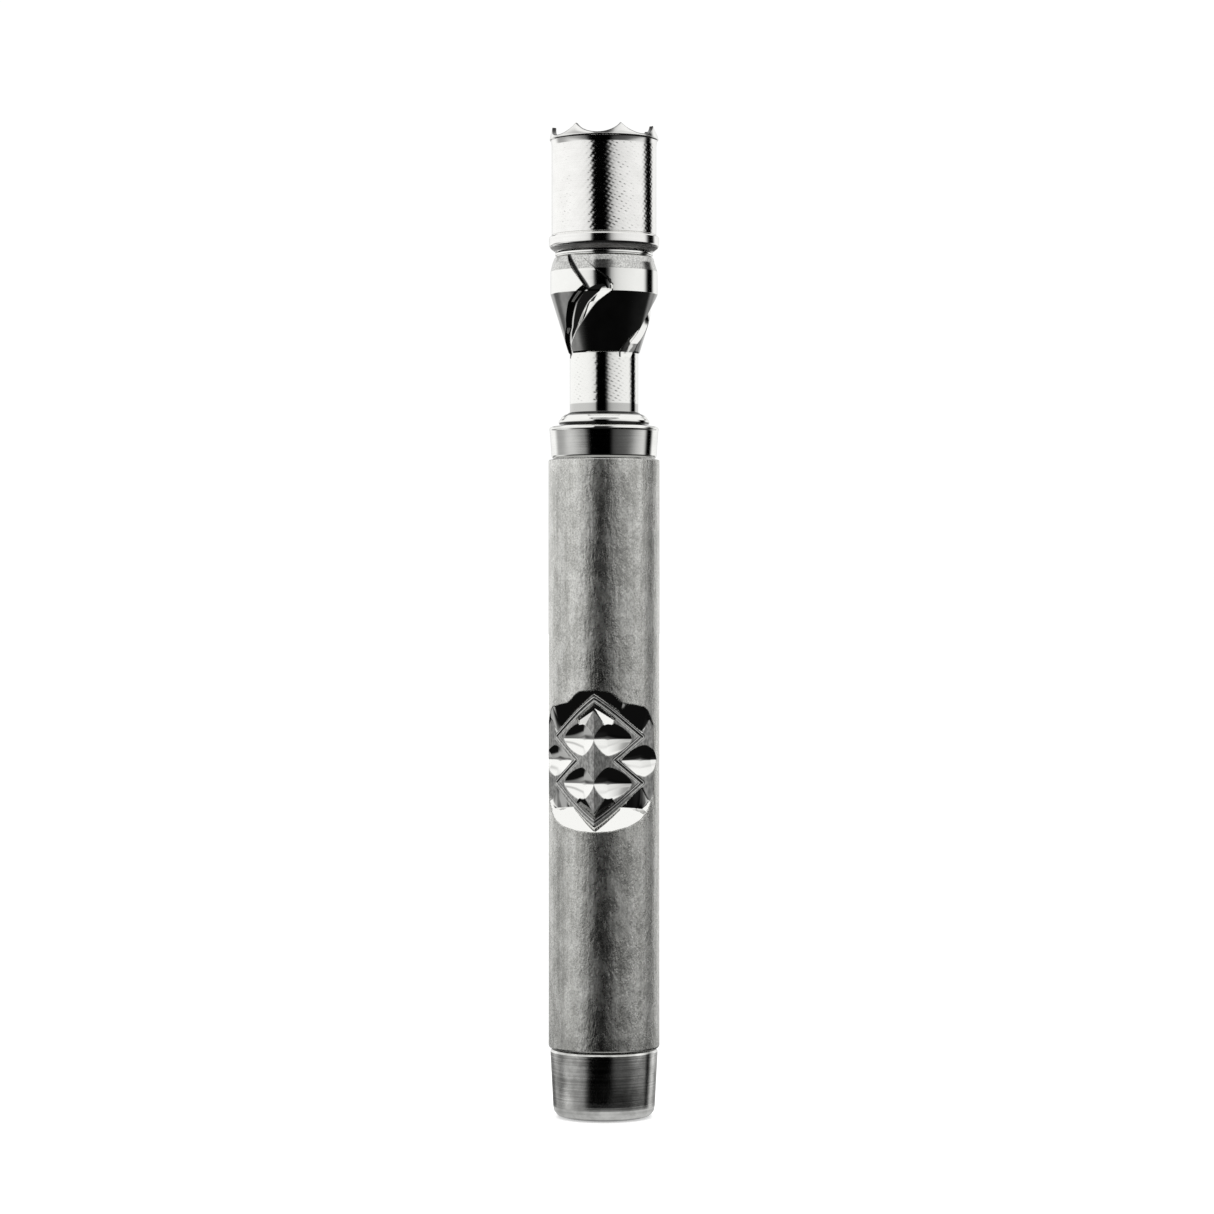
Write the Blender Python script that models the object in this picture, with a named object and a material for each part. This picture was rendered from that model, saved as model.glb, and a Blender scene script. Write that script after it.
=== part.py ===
"""Slim turned-metal stem with a click cap: cap, fluted tip, collared body and tapered mouthpiece.

Frame: +Z up along the axis, origin at the centre of the mouthpiece's flat end face, metres.
Every coaxial piece is a turned profile; the crown, the flutes and the thumb relief are laid
over the turned profile by rule."""

import math

import bmesh
import bpy

MM = 0.001

# ---- driving dimensions, millimetres -------------------------------------------------
TOTAL_H = 90.4           # mouthpiece end to crown points
SLEEVE_R = 5.08          # matt sleeve, outside
SLEEVE_BORE_R = 3.76
SLEEVE_Z = (6.40, 60.06)
LINER_R = 3.70
LINER_BORE_R = 3.35
LINER_Z = (6.50, 62.95)
COLLAR_Z = (60.14, 63.10)
COLLAR_BORE_R = 3.76
FERRULE_TOP_Z = 6.22
SPIGOT_R = 3.27          # mouthpiece spigot, running in the liner
SPIGOT_TOP_Z = 12.2
TUBE_R, TUBE_BORE_R = 1.95, 1.45
TUBE_Z = (1.60, 67.0)
TIP_BORE_R = 2.10
NECK_R = 3.13
SHANK_R = 3.27
SHANK_BOTTOM_Z = 54.6
FLANGE_R = 4.13
BAND_R = 4.90
BAND_Z = (75.17, 77.22)
CONE_BOTTOM_Z = 69.88
LAND_R = 4.46
LAND_Z = (78.72, 78.92)
BOWL_R, BOWL_BORE_R = 3.55, 3.00
BOWL_FLOOR_Z, BOWL_TOP_Z = 79.00, 86.40
CAP_R = 4.79
CAP_BORE_R = 4.30
CAP_BOTTOM_Z = 79.00
BEAD_R = 5.03
LIP_R = 4.98             # smooth lip under the crown
CROWN_POINTS = 7
CROWN_PEAK_Z, CROWN_VALLEY_Z = TOTAL_H, 89.50
CROWN_PEAK_R = 4.76
CROWN_FIRST_DEG = -32.6  # angle of one point, from the front towards +X
FLUTES = 3
FLUTE_DEPTH = 0.56
FLUTE_BEND_Z = 75.5      # each flute turns back here, from the slot to the scoop down the cone
RELIEF_Z = (26.3, 39.1)
RELIEF_DEG = -11.0
RELIEF_HALF_W = 4.36
RELIEF_DEPTH = 0.85
ORING_MINOR = 0.36
TIP_ORING_Z = (60.9, 57.3)
MOUTH_ORING_Z = (10.7, 8.3)
TUBE_ORING_Z = 65.0
FRONT = -math.pi / 2     # the front of the object faces -Y


# ---- helpers ---------------------------------------------------------------------------
def clear_scene():
    for obj in list(bpy.data.objects):
        bpy.data.objects.remove(obj, do_unlink=True)


def material(name, colour, metallic, roughness):
    mat = bpy.data.materials.new(name)
    mat.use_nodes = True
    bsdf = mat.node_tree.nodes["Principled BSDF"]
    bsdf.inputs["Base Color"].default_value = (*colour, 1.0)
    bsdf.inputs["Metallic"].default_value = metallic
    bsdf.inputs["Roughness"].default_value = roughness
    mat.diffuse_color = (*colour, 1.0)
    return mat


def turned(name, rows, segments, mat, parent=None, phase=0.0, radial=None, lift=None, keep=30.0):
    """A solid of revolution about Z. rows is the closed outline, (r, z) in millimetres, running
    once round the section. radial(i, r, z, a) and lift(i, r, z, a) may move a point by rule."""
    bm = bmesh.new()
    rings = []
    for i, (r, z) in enumerate(rows):
        if r < 1e-9:
            rings.append([bm.verts.new((0.0, 0.0, z * MM))])
            continue
        ring = []
        for s in range(segments):
            a = phase + 2.0 * math.pi * s / segments
            rr = radial(i, r, z, a) if radial else r
            zz = lift(i, r, z, a) if lift else z
            ring.append(bm.verts.new((rr * math.cos(a) * MM, rr * math.sin(a) * MM, zz * MM)))
        rings.append(ring)
    closed = rows[0][0] > 1e-9 or rows[-1][0] > 1e-9
    pairs = list(zip(rings, rings[1:]))
    if closed:
        pairs.append((rings[-1], rings[0]))
    for low, high in pairs:
        if len(low) == 1 and len(high) == 1:
            continue
        for s in range(segments):
            t = (s + 1) % segments
            if len(low) == 1:
                bm.faces.new((low[0], high[s], high[t]))
            elif len(high) == 1:
                bm.faces.new((low[s], high[0], low[t]))
            else:
                bm.faces.new((low[s], high[s], high[t], low[t]))
    bmesh.ops.recalc_face_normals(bm, faces=bm.faces)
    if bm.calc_volume(signed=True) < 0.0:
        bmesh.ops.reverse_faces(bm, faces=bm.faces)
    mesh = bpy.data.meshes.new(name)
    bm.to_mesh(mesh)
    bm.free()
    mesh.materials.append(mat)
    mesh.shade_smooth()
    mesh.set_sharp_from_angle(angle=math.radians(keep))
    obj = bpy.data.objects.new(name, mesh)
    bpy.context.scene.collection.objects.link(obj)
    if parent:
        obj.parent = parent
    return obj


def arc(cr, cz, radius, start_deg, end_deg, steps):
    """Points on a quarter or other arc of a section, centre (cr, cz)."""
    out = []
    for k in range(steps + 1):
        a = math.radians(start_deg + (end_deg - start_deg) * k / steps)
        out.append((cr + radius * math.cos(a), cz + radius * math.sin(a)))
    return out


def front_angle(a):
    """Degrees from the front (-Y), positive towards +X, in -180..180."""
    d = math.degrees(a - FRONT)
    return (d + 180.0) % 360.0 - 180.0


def smooth(t):
    t = max(0.0, min(1.0, t))
    return t * t * (3.0 - 2.0 * t)


def spread(z0, z1, n):
    return [z0 + (z1 - z0) * k / n for k in range(n + 1)]


def group(name, z=0.0):
    empty = bpy.data.objects.new(name, None)
    empty.empty_display_size = 0.004
    empty.location = (0.0, 0.0, z * MM)
    bpy.context.scene.collection.objects.link(empty)
    return empty


clear_scene()

POLISHED = material("polished_steel", (0.72, 0.72, 0.70), 1.0, 0.12)
CAP_STEEL = material("cap_steel", (0.76, 0.75, 0.73), 1.0, 0.18)
MATT = material("matt_steel", (0.50, 0.50, 0.48), 1.0, 0.46)
TURNED = material("turned_steel", (0.62, 0.62, 0.60), 1.0, 0.25)
BIMETAL = material("bimetal", (0.62, 0.58, 0.50), 1.0, 0.30)
SPRING = material("spring_steel", (0.52, 0.52, 0.53), 1.0, 0.28)
SEAL = material("seal_rubber", (0.55, 0.12, 0.06), 0.0, 0.55)

# All joints share the Z axis, so each moving group hangs from an empty on that axis.
BODY = group("axis_body", 6.63)
TIP = group("axis_tip", 63.4)
CAP = group("axis_cap", 79.3)


def placed(obj, parent):
    """Parent to an axis empty and keep the modelled place."""
    obj.parent = parent
    obj.location = (0.0, 0.0, -parent.location.z)
    return obj


# ---- mouthpiece: tapered ferrule, shoulder and spigot -------------------------------------
def mouthpiece_outline():
    end_round = [(3.62, 0.0), (3.98, 0.09), (4.27, 0.27), (4.47, 0.52), (4.58, 0.82), (4.655, 1.25)]
    taper = [(4.78, 3.70), (4.915, FERRULE_TOP_Z - 0.18), (4.80, FERRULE_TOP_Z)]
    spigot = [(SPIGOT_R, FERRULE_TOP_Z)]
    for zc in reversed(MOUTH_ORING_Z):
        spigot += [(SPIGOT_R, zc - 0.42), (SPIGOT_R - 0.72, zc - 0.42),
                   (SPIGOT_R - 0.72, zc + 0.42), (SPIGOT_R, zc + 0.42)]
    spigot += [(SPIGOT_R, SPIGOT_TOP_Z - 0.25), (SPIGOT_R - 0.25, SPIGOT_TOP_Z)]
    bore = [(TUBE_R + 0.06, SPIGOT_TOP_Z), (TUBE_R + 0.06, 1.50), (1.62, 1.50), (1.62, 0.62), (1.95, 0.18), (2.25, 0.0)]
    return end_round + taper + spigot + bore


turned("mouthpiece", mouthpiece_outline(), 40, POLISHED)


# ---- condenser tube and its seal ------------------------------------------------------------
def tube_outline():
    z0, z1 = TUBE_Z
    zc = TUBE_ORING_Z
    return [(TUBE_BORE_R, z0), (TUBE_R, z0), (TUBE_R, zc - 0.34), (TUBE_R - 0.26, zc - 0.34),
            (TUBE_R - 0.26, zc + 0.34), (TUBE_R, zc + 0.34), (TUBE_R, z1 - 0.3), (TUBE_R - 0.25, z1),
            (TUBE_BORE_R, z1)]


turned("condenser_tube", tube_outline(), 24, TURNED)


def o_ring(name, major, minor, z, segments, parent=None):
    ring = arc(major, z, minor, 30.0, 330.0, 5)
    obj = turned(name, ring, segments, SEAL, keep=80.0)
    return placed(obj, parent) if parent else obj


o_ring("condenser_tip_o_ring", TUBE_R - 0.26 + 0.03 + 0.165, 0.165, TUBE_ORING_Z, 24)
MOUTH_MAJOR = SPIGOT_R - 0.72 + 0.03 + ORING_MINOR
o_ring("mouthpiece_o_ring_upper", MOUTH_MAJOR, ORING_MINOR, MOUTH_ORING_Z[0], 24)
o_ring("mouthpiece_o_ring_lower", MOUTH_MAJOR, ORING_MINOR, MOUTH_ORING_Z[1], 24)


# ---- body: liner, collar, sleeve ---------------------------------------------------------------
liner = turned("body_liner", [(LINER_BORE_R, LINER_Z[0] + 0.15), (LINER_BORE_R + 0.12, LINER_Z[0]), (LINER_R, LINER_Z[0]),
                              (LINER_R, LINER_Z[1]), (LINER_BORE_R + 0.12, LINER_Z[1]), (LINER_BORE_R, LINER_Z[1] - 0.15)],
               40, TURNED)
placed(liner, BODY)

collar = turned("upper_collar", [(COLLAR_BORE_R, COLLAR_Z[0]), (4.66, COLLAR_Z[0]), (4.77, COLLAR_Z[0] + 0.18),
                                 (4.84, 61.00), (4.91, 62.00), (4.96, 62.60), (5.01, 62.80), (4.95, 62.98),
                                 (4.72, COLLAR_Z[1]), (COLLAR_BORE_R, COLLAR_Z[1])], 40, POLISHED)
placed(collar, BODY)


def relief_depth(a, z):
    """Depth of the milled thumb relief under the sleeve's skin, millimetres."""
    d = math.radians(front_angle(a) - RELIEF_DEG)
    if abs(d) > math.radians(75.0):
        return 0.0
    x = SLEEVE_R * math.sin(d) / RELIEF_HALF_W
    mid = 0.5 * (RELIEF_Z[0] + RELIEF_Z[1])
    y = (z - mid) / (0.5 * (RELIEF_Z[1] - RELIEF_Z[0]))
    q = max(abs(x), abs(y), (abs(x) ** 4 + abs(y) ** 4) ** 0.25)
    return RELIEF_DEPTH * smooth((1.0 - q) / 0.30)


def sleeve_outline():
    z0, z1 = SLEEVE_Z
    outer = [(SLEEVE_BORE_R, z0), (SLEEVE_R - 0.22, z0), (SLEEVE_R, z0 + 0.25)]
    outer += [(SLEEVE_R, z) for z in spread(RELIEF_Z[0], RELIEF_Z[1], 14)]
    outer += [(SLEEVE_R, z1 - 0.30), (SLEEVE_R - 0.10, z1 - 0.09), (SLEEVE_R - 0.28, z1), (SLEEVE_BORE_R, z1)]
    return outer


sleeve = turned("body_sleeve", sleeve_outline(), 60, MATT,
                radial=lambda i, r, z, a: r - relief_depth(a, z) if r > SLEEVE_R - 0.01 else r, keep=40.0)
placed(sleeve, BODY)


# ---- tip: shank, stop flange, neck, fluted cone, band, chamfer, land and bowl ----------------------
def flute_edges(z):
    """Left and right edge of a flute in degrees: a slot that falls to the right across the band,
    then a wider scoop that falls to the left down the cone."""
    if z >= FLUTE_BEND_Z:
        return -34.7 - 8.7 * (z - 77.0), min(9.0, -5.5 - 14.7 * (z - 77.0))
    return -25.5 - 12.6 * (FLUTE_BEND_Z - z), 9.0 - 12.6 * max(0.0, BAND_Z[0] - z)


def flute_offset(a, z):
    """How far into a flute this point lies: 0 outside, 1 on the floor."""
    best = 0.0
    left, right = flute_edges(z)
    fade = smooth((79.0 - z) / 0.4) * smooth((z - (CONE_BOTTOM_Z - 0.6)) / 0.6)
    for k in range(FLUTES):
        d = (front_angle(a) - 360.0 * k / FLUTES + 180.0) % 360.0 - 180.0
        inside = min(d - left, right - d)
        best = max(best, fade * smooth((inside + 2.0) / 8.0))
    return best


def tip_outline():
    z_shank = SHANK_BOTTOM_Z
    rows = [(TIP_BORE_R + 0.2, z_shank), (SHANK_R - 0.25, z_shank), (SHANK_R, z_shank + 0.3)]
    for zc in reversed(TIP_ORING_Z):
        rows += [(SHANK_R, zc - 0.42), (SHANK_R - 0.72, zc - 0.42), (SHANK_R - 0.72, zc + 0.42), (SHANK_R, zc + 0.42)]
    rows += [(SHANK_R, 63.16), (3.80, 63.18), (3.82, 63.28), (4.08, 63.30), (FLANGE_R, 63.40), (FLANGE_R, 63.60),
             (3.95, 63.78), (3.86, 63.95), (3.56, 64.15), (3.28, 64.24), (3.26, 64.32)]
    rows += [(NECK_R, 64.62), (NECK_R, 65.40), (NECK_R, CONE_BOTTOM_Z - 0.35)]
    slope = (BAND_R - NECK_R - 0.10) / (BAND_Z[0] - CONE_BOTTOM_Z)
    rows += [(NECK_R + 0.10 + slope * (z - CONE_BOTTOM_Z), z) for z in spread(CONE_BOTTOM_Z, BAND_Z[0], 9)]
    rows += [(BAND_R, 75.70), (BAND_R, 76.20), (BAND_R, 76.70), (BAND_R, BAND_Z[1])]
    rows += [(4.83, 77.62), (4.73, 77.98), (4.57, 78.40), (4.36, 78.61), (4.36, 78.70), (LAND_R, LAND_Z[0]), (LAND_R - 0.02, LAND_Z[1])]
    rows += [(BOWL_R, LAND_Z[1]), (BOWL_R, BOWL_TOP_Z - 0.2), (BOWL_R - 0.16, BOWL_TOP_Z), (BOWL_BORE_R + 0.12, BOWL_TOP_Z),
             (BOWL_BORE_R, BOWL_TOP_Z - 0.2), (BOWL_BORE_R, BOWL_FLOOR_Z), (1.25, BOWL_FLOOR_Z), (1.25, 70.6),
             (TIP_BORE_R, 70.2), (TIP_BORE_R, z_shank + 0.2)]
    return rows


def tip_radial(i, r, z, a):
    if CONE_BOTTOM_Z - 0.4 <= z <= 78.8 and r > NECK_R - 0.01:
        return r - FLUTE_DEPTH * flute_offset(a, z)
    return r


tip = turned("tip", tip_outline(), 48, POLISHED, radial=tip_radial)
placed(tip, TIP)
TIP_MAJOR = SHANK_R - 0.72 + 0.03 + ORING_MINOR
o_ring("tip_o_ring_upper", TIP_MAJOR, ORING_MINOR, TIP_ORING_Z[0], 24, TIP)
o_ring("tip_o_ring_lower", TIP_MAJOR, ORING_MINOR, TIP_ORING_Z[1], 24, TIP)


def screen():
    """Diffuser disc with a ring of holes and one in the middle."""
    obj = turned("bowl_screen", [(0.0, BOWL_FLOOR_Z + 0.08), (2.88, BOWL_FLOOR_Z + 0.08), (2.88, BOWL_FLOOR_Z + 0.34),
                                 (2.55, BOWL_FLOOR_Z + 0.40), (0.0, BOWL_FLOOR_Z + 0.40)], 24, TURNED)
    bm = bmesh.new()
    for ring_r, count in ((0.0, 1), (1.55, 6)):
        for k in range(count):
            a = 2.0 * math.pi * k / count
            made = bmesh.ops.create_cone(bm, cap_ends=True, segments=8, radius1=0.30 * MM, radius2=0.30 * MM, depth=1.2 * MM)
            bmesh.ops.translate(bm, verts=made["verts"],
                                vec=(ring_r * math.cos(a) * MM, ring_r * math.sin(a) * MM, (BOWL_FLOOR_Z + 0.25) * MM))
    mesh = bpy.data.meshes.new("screen_holes")
    bm.to_mesh(mesh)
    bm.free()
    cutter = bpy.data.objects.new("screen_holes", mesh)
    bpy.context.scene.collection.objects.link(cutter)
    cutter.hide_render = True
    cutter.display_type = "WIRE"
    placed(obj, TIP)
    placed(cutter, TIP)
    cut = obj.modifiers.new("holes", "BOOLEAN")
    cut.operation, cut.object, cut.solver = "DIFFERENCE", cutter, "EXACT"
    return obj


screen()


# ---- cap: shell, cover disc, click discs, clip --------------------------------------------------------
def crown_z(a):
    """Height of the crimped crown's edge: seven concave arcs that meet in points."""
    pitch = 360.0 / CROWN_POINTS
    d = (front_angle(a) - CROWN_FIRST_DEG) % pitch
    chord = 2.0 * math.pi * CROWN_PEAK_R / CROWN_POINTS
    sag = CROWN_PEAK_Z - CROWN_VALLEY_Z
    radius = chord * chord / (8.0 * sag) + sag / 2.0
    s = chord * (d / pitch - 0.5)
    return CROWN_VALLEY_Z + radius - math.sqrt(radius * radius - s * s)


def cap_outline():
    b = CAP_BOTTOM_Z
    outer = [(CAP_BORE_R, b), (4.46, b), (4.52, b + 0.10), (4.90, 79.40), (BEAD_R, 79.66), (BEAD_R, 80.36), (4.90, 80.46),
             (CAP_R, 80.60), (CAP_R, 84.6), (CAP_R, 88.52), (4.86, 88.92), (LIP_R, 89.22)]
    crown = [(CROWN_PEAK_R, -1.0), (CROWN_PEAK_R - 0.42, -2.0)]
    inner = [(CAP_BORE_R + 0.02, 89.20), (CAP_BORE_R, 88.72), (3.80, 88.72), (3.80, 88.42), (CAP_BORE_R, 88.42)]
    return outer + crown + inner


CAP_ROWS = cap_outline()


def cap_lift(i, r, z, a):
    if z == -1.0:
        return crown_z(a)
    if z == -2.0:
        return crown_z(a) - 0.03
    return z


def cap_radial(i, r, z, a):
    """The crown leans in from the lip towards its points."""
    if z in (-1.0, -2.0):
        high = (crown_z(a) - CROWN_VALLEY_Z) / (CROWN_PEAK_Z - CROWN_VALLEY_Z)
        return r + 0.16 * (1.0 - high)
    return r


cap = turned("cap_shell", CAP_ROWS, 56, CAP_STEEL, radial=cap_radial, lift=cap_lift,
             phase=FRONT + math.radians(CROWN_FIRST_DEG), keep=35.0)
placed(cap, CAP)

placed(turned("cap_cover_disc", [(0.0, 88.86), (3.2, 88.84), (4.20, 88.78), (4.20, 89.02), (3.2, 89.08), (0.0, 89.10)], 28, TURNED), CAP)


def domed(name, z_edge, rise, radius, thick, mat):
    """A thin dished disc, its middle raised."""
    rows = [(0.0, z_edge + rise)]
    rows += [(radius * k / 3.0, z_edge + rise * (1.0 - (k / 3.0) ** 2)) for k in (1, 2, 3)]
    rows += [(radius * k / 3.0, z_edge + thick + rise * (1.0 - (k / 3.0) ** 2)) for k in (3, 2, 1)]
    rows += [(0.0, z_edge + rise + thick)]
    return placed(turned(name, rows, 28, mat), CAP)


domed("snap_disc_outer", 88.05, 0.22, 4.12, 0.20, BIMETAL)
domed("snap_disc_inner", 87.65, 0.22, 4.12, 0.20, BIMETAL)


def clip_radial(i, r, z, a):
    """Six sprung fingers lean in to grip the bowl."""
    if r < 3.99 and 84.3 < z < 86.9:
        d = (math.degrees(a) % 60.0) / 60.0
        finger = smooth(1.0 - abs(d - 0.5) / 0.34)
        return r - 0.30 * finger * math.sin(math.pi * (z - 84.3) / 2.6)
    return r


clip = turned("retention_clip", [(3.98, 84.0), (4.20, 84.0), (4.20, 87.3), (3.98, 87.3), (3.98, 86.9), (3.98, 86.2),
                                 (3.98, 85.6), (3.98, 85.0), (3.98, 84.3)], 36, SPRING, radial=clip_radial)
placed(clip, CAP)
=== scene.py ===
import math

import bpy
import numpy as np
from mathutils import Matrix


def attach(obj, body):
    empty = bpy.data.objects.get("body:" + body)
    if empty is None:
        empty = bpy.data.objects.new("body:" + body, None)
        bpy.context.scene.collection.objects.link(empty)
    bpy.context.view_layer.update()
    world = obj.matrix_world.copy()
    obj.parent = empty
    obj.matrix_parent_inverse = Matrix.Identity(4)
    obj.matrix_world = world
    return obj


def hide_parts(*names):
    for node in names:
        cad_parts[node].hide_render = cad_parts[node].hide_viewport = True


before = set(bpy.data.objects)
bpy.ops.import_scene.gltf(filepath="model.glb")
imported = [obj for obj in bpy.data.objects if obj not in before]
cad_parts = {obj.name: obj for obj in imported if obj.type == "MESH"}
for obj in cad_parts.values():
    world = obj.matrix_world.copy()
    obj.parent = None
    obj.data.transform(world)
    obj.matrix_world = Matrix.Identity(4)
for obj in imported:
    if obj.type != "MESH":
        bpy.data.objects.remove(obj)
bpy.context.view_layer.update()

MM = 0.001
FRONT = -math.pi / 2.0          # the thumb relief's side faces -Y, and so does the camera


# =====================================================================================
# small helpers
# =====================================================================================
def smooth(t):
    t = np.clip(t, 0.0, 1.0)
    return t * t * (3.0 - 2.0 * t)


def front_deg(a):
    """Degrees from the front (-Y), positive towards +X, in -180..180."""
    return (np.degrees(a - FRONT) + 180.0) % 360.0 - 180.0


def rounded(points, step_deg=14.0):
    """A closed section (r, z, corner radius) with its corners rounded: list of (r, z)."""
    out = []
    n = len(points)
    for i in range(n):
        p = np.array(points[i - 1][:2], float)
        v = np.array(points[i][:2], float)
        q = np.array(points[(i + 1) % n][:2], float)
        rho = points[i][2] if len(points[i]) > 2 else 0.0
        a, b = p - v, q - v
        la, lb = np.linalg.norm(a), np.linalg.norm(b)
        a, b = a / la, b / lb
        cosine = float(np.clip(a @ b, -1, 1))
        half = math.acos(cosine) / 2.0
        turn = math.pi - 2.0 * half
        if rho <= 0.0 or turn < math.radians(2.0):
            out.append((float(v[0]), float(v[1])))
            continue
        t = min(rho / math.tan(half), 0.46 * la, 0.46 * lb)
        rho = t * math.tan(half)
        mid = a + b
        mid = mid / np.linalg.norm(mid)
        c = v + mid * (rho / math.sin(half))
        s = v + a * t - c
        e = v + b * t - c
        k = max(2, int(math.ceil(math.degrees(turn) / step_deg)))
        for j in range(k + 1):
            f = j / k
            w = math.sin((1 - f) * turn) * s + math.sin(f * turn) * e
            w = w / math.sin(turn) if abs(math.sin(turn)) > 1e-6 else (1 - f) * s + f * e
            out.append((float(c[0] + w[0]), float(c[1] + w[1])))
    return out


def fill(rows, zones):
    """Adds rows along outer stretches: zones is a list of (z low, z high, step, r above)."""
    out = []
    n = len(rows)
    for i in range(n):
        out.append(rows[i])
        a, b = rows[i], rows[(i + 1) % n]
        for lo, hi, step, above in zones:
            if min(a[0], b[0]) > above and min(a[1], b[1]) > lo - 1e-6 and max(a[1], b[1]) < hi + 1e-6:
                k = int(math.ceil(math.hypot(b[0] - a[0], b[1] - a[1]) / step))
                for j in range(1, k):
                    f = j / k
                    out.append((a[0] + (b[0] - a[0]) * f, a[1] + (b[1] - a[1]) * f))
                break
    return out


def skin(name, rings, angles, mat, sharp=38.0, closed=True, attributes=None):
    """A closed surface from rings: each ring is (r, z), two arrays over angles, in millimetres.
    A ring whose r is 0 everywhere closes to one point."""
    n = len(angles)
    ca, sa = np.cos(angles), np.sin(angles)
    verts, starts, single = [], [], []
    count = 0
    for r, z in rings:
        r = np.broadcast_to(np.asarray(r, float), (n,))
        z = np.broadcast_to(np.asarray(z, float), (n,))
        starts.append(count)
        if float(np.max(np.abs(r))) < 1e-9:
            verts.append(np.array([[0.0, 0.0, float(z[0])]]))
            single.append(True)
            count += 1
        else:
            verts.append(np.stack([r * ca, r * sa, z], 1))
            single.append(False)
            count += n
    co = np.concatenate(verts) * MM
    quads, tris = [], []
    idx = np.arange(n)
    nxt = (idx + 1) % n
    pairs = list(zip(range(len(rings) - 1), range(1, len(rings))))
    if closed and not (single[0] and single[-1]):
        pairs.append((len(rings) - 1, 0))
    for a, b in pairs:
        if single[a] and single[b]:
            continue
        if single[a]:
            tris.append(np.stack([np.full(n, starts[a]), starts[b] + idx, starts[b] + nxt], 1))
        elif single[b]:
            tris.append(np.stack([starts[a] + idx, np.full(n, starts[b]), starts[a] + nxt], 1))
        else:
            quads.append(np.stack([starts[a] + idx, starts[b] + idx, starts[b] + nxt, starts[a] + nxt], 1))
    faces = []
    if quads:
        faces += np.concatenate(quads).tolist()
    if tris:
        faces += np.concatenate(tris).tolist()
    mesh = bpy.data.meshes.new(name)
    mesh.from_pydata(co.tolist(), [], faces)
    mesh.update()
    # outward faces: flip everything if the signed volume is negative
    tri = np.array([(f[0], f[k], f[k + 1]) for f in faces for k in range(1, len(f) - 1)])
    p = co[tri]
    volume = np.einsum("ij,ij->i", p[:, 0], np.cross(p[:, 1], p[:, 2])).sum()
    if volume < 0:
        mesh.flip_normals()
    mesh.materials.append(mat)
    mesh.shade_smooth()
    mesh.set_sharp_from_angle(angle=math.radians(sharp))
    if attributes:
        for key, value in attributes.items():
            layer = mesh.attributes.new(key, "FLOAT", "POINT")
            layer.data.foreach_set("value", np.asarray(value, np.float32))
    obj = bpy.data.objects.new(name, mesh)
    bpy.context.scene.collection.objects.link(obj)
    return obj


def round_angles(n, phase=0.0):
    return phase + 2.0 * math.pi * np.arange(n) / n


def place(obj, body, node):
    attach(obj, body)
    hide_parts(node)
    return obj


# =====================================================================================
# materials
# =====================================================================================
class Graph:
    """Short-hand for a node tree."""

    def __init__(self, tree):
        self.tree = tree

    def node(self, kind, **values):
        n = self.tree.nodes.new(kind)
        for key, value in values.items():
            setattr(n, key, value)
        return n

    def link(self, a, b):
        self.tree.links.new(a, b)

    def math(self, op, a, b=None, clamp=False):
        n = self.node("ShaderNodeMath", operation=op, use_clamp=clamp)
        for i, v in enumerate((a, b)):
            if v is None:
                continue
            if isinstance(v, (int, float)):
                n.inputs[i].default_value = v
            else:
                self.link(v, n.inputs[i])
        return n.outputs[0]

    def range(self, value, lo, hi, to_lo=0.0, to_hi=1.0, kind="SMOOTHSTEP"):
        n = self.node("ShaderNodeMapRange", interpolation_type=kind)
        self.link(value, n.inputs[0])
        n.inputs[1].default_value, n.inputs[2].default_value = lo, hi
        n.inputs[3].default_value, n.inputs[4].default_value = to_lo, to_hi
        return n.outputs[0]

    def mix(self, factor, a, b):
        n = self.node("ShaderNodeMix", data_type="RGBA")
        for socket, v in ((n.inputs[0], factor), (n.inputs[6], a), (n.inputs[7], b)):
            if isinstance(v, (int, float)):
                socket.default_value = v
            elif isinstance(v, tuple):
                socket.default_value = (*v, 1.0)
            else:
                self.link(v, socket)
        return n.outputs[2]

    def noise(self, vector, scale, detail=3.0, rough=0.55):
        n = self.node("ShaderNodeTexNoise")
        n.inputs["Scale"].default_value = scale
        n.inputs["Detail"].default_value = detail
        n.inputs["Roughness"].default_value = rough
        self.link(vector, n.inputs["Vector"])
        return n.outputs["Fac"]

    def stretched(self, vector, scale):
        n = self.node("ShaderNodeMapping", vector_type="POINT")
        self.link(vector, n.inputs["Vector"])
        n.inputs["Scale"].default_value = scale
        return n.outputs[0]

    def bump(self, height, distance, strength=1.0, normal=None):
        n = self.node("ShaderNodeBump")
        n.inputs["Strength"].default_value = strength
        n.inputs["Distance"].default_value = distance
        self.link(height, n.inputs["Height"])
        if normal is not None:
            self.link(normal, n.inputs["Normal"])
        return n.outputs[0]


def new_material(name):
    mat = bpy.data.materials.new(name)
    mat.use_nodes = True
    g = Graph(mat.node_tree)
    bsdf = mat.node_tree.nodes["Principled BSDF"]
    coords = g.node("ShaderNodeTexCoord").outputs["Object"]
    return mat, g, bsdf, coords


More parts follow.
